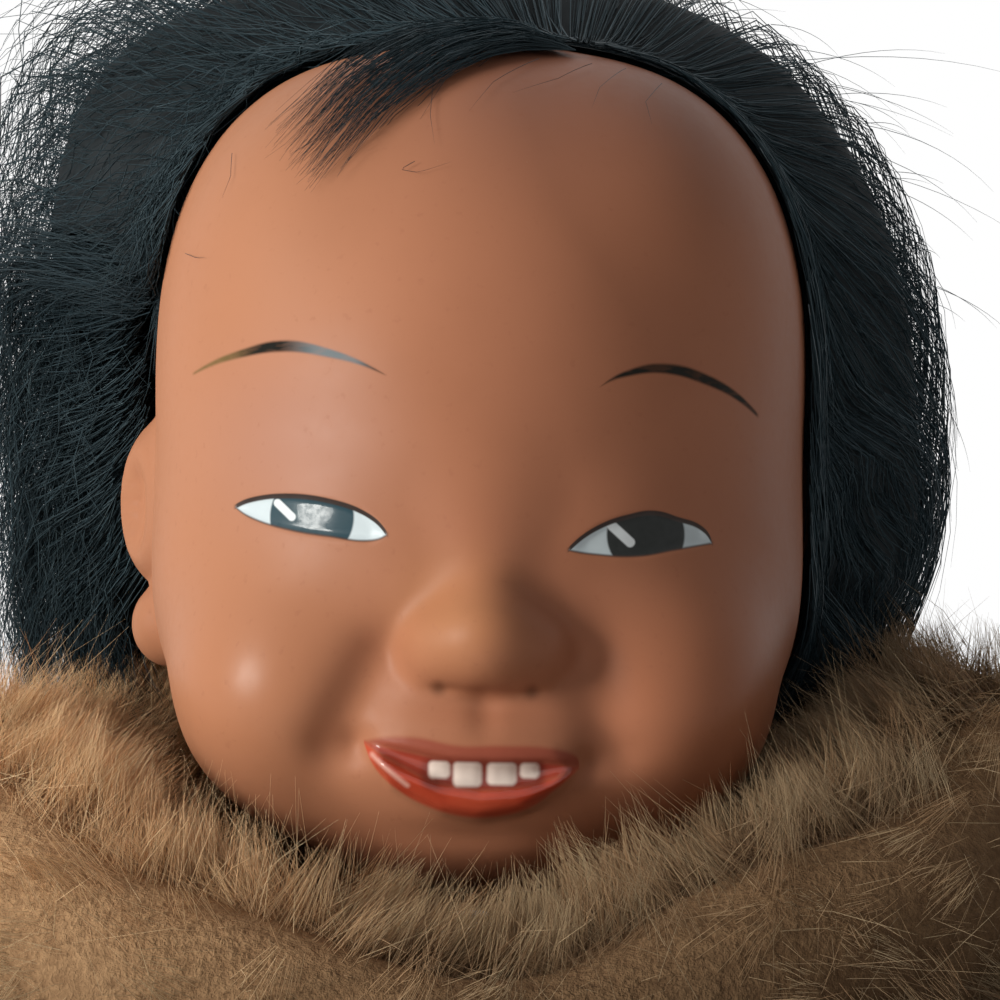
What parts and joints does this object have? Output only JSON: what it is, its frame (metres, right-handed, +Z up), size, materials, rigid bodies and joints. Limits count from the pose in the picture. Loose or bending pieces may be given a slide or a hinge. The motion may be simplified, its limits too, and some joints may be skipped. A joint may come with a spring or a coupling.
{
  "type": "inuit doll",
  "caption": "Standing doll in Inuit winter dress: bisque socket head with a black wig, strung jointed limbs, fur-ruffed hooded parka, trousers, mittens and boots.",
  "frame": {"origin": "on the floor, in the middle of the bounding box, between the boots", "axes": "+Z up; the doll faces -Y; its left hand is on +X"},
  "size_m": [0.2304, 0.1324, 0.511],
  "materials": {
    "bisque": "satin, painted features",
    "hair": "long synthetic fibre",
    "fur": "rabbit fur",
    "hide": "suede",
    "cloth": "wool",
    "boot_hide": "sealskin side out",
    "sole_hide": "rough",
    "braid": "woven",
    "thong": "plain",
    "wood": "plain",
    "steel": "drawn wire",
    "elastic": "woven cover",
    "composition": "painted composition",
    "cap_net": "net",
    "pate_board": "plain"
  },
  "bodies": {
    "torso": {"torso_front": "composition", "torso_back": "composition", "arm_elastic": "elastic", "leg_elastic": "elastic", "parka": "hide", "hem_braid": "braid", "hem_trim": "fur", "ruff": "fur", "hood": "hide", "trouser_seat": "cloth"},
    "neck_swivel": {"neck_button": "wood", "hook_washer": "steel", "head_hook": "steel"},
    "head": {"head": "bisque", "pate": "pate_board", "wig_cap": "cap_net", "hair_crown": "hair", "hair_left": "hair", "hair_right": "hair", "hair_back": "hair", "fringe_lock": "hair"},
    "left_arm": {"left_arm": "bisque", "left_arm_pin": "steel", "left_sleeve": "hide", "left_cuff_braid": "braid", "left_cuff": "fur", "left_mitten": "boot_hide"},
    "left_leg": {"left_leg": "bisque", "left_hip_pin": "steel", "left_trouser_leg": "cloth", "left_boot": "boot_hide", "left_boot_cuff": "fur", "left_boot_tie": "thong", "left_sole": "sole_hide"},
    "right_arm": {"right_arm": "bisque", "right_arm_pin": "steel", "right_sleeve": "hide", "right_cuff_braid": "braid", "right_cuff": "fur", "right_mitten": "boot_hide"},
    "right_leg": {"right_leg": "bisque", "right_hip_pin": "steel", "right_trouser_leg": "cloth", "right_boot": "boot_hide", "right_boot_cuff": "fur", "right_boot_tie": "thong", "right_sole": "sole_hide"}
  },
  "joints": [
    {"name": "head_turn", "type": "hinge", "parent": "torso", "child": "neck_swivel", "pos_m": [0, 0, 0.388], "axis": [0, 0, 1], "range_deg": [-70, 70], "deforming": ["leg_elastic"]},
    {"name": "head_nod", "type": "hinge", "parent": "neck_swivel", "child": "head", "pos_m": [0, 0, 0.388], "axis": [1, 0, 0], "range_deg": [-8, 8]},
    {"name": "left_shoulder", "type": "hinge", "parent": "torso", "child": "left_arm", "pos_m": [0.05, 0, 0.345], "axis": [-1, 0, 0], "range_deg": [-50, 90], "deforming": ["arm_elastic"]},
    {"name": "right_shoulder", "type": "hinge", "parent": "torso", "child": "right_arm", "pos_m": [-0.05, 0, 0.345], "axis": [-1, 0, 0], "range_deg": [-50, 90], "deforming": ["arm_elastic"]},
    {"name": "left_hip", "type": "hinge", "parent": "torso", "child": "left_leg", "pos_m": [0.028, 0, 0.205], "axis": [-1, 0, 0], "range_deg": [-20, 90], "deforming": ["trouser_seat"]},
    {"name": "right_hip", "type": "hinge", "parent": "torso", "child": "right_leg", "pos_m": [-0.028, 0, 0.205], "axis": [-1, 0, 0], "range_deg": [-20, 90], "deforming": ["trouser_seat"]}
  ]
}
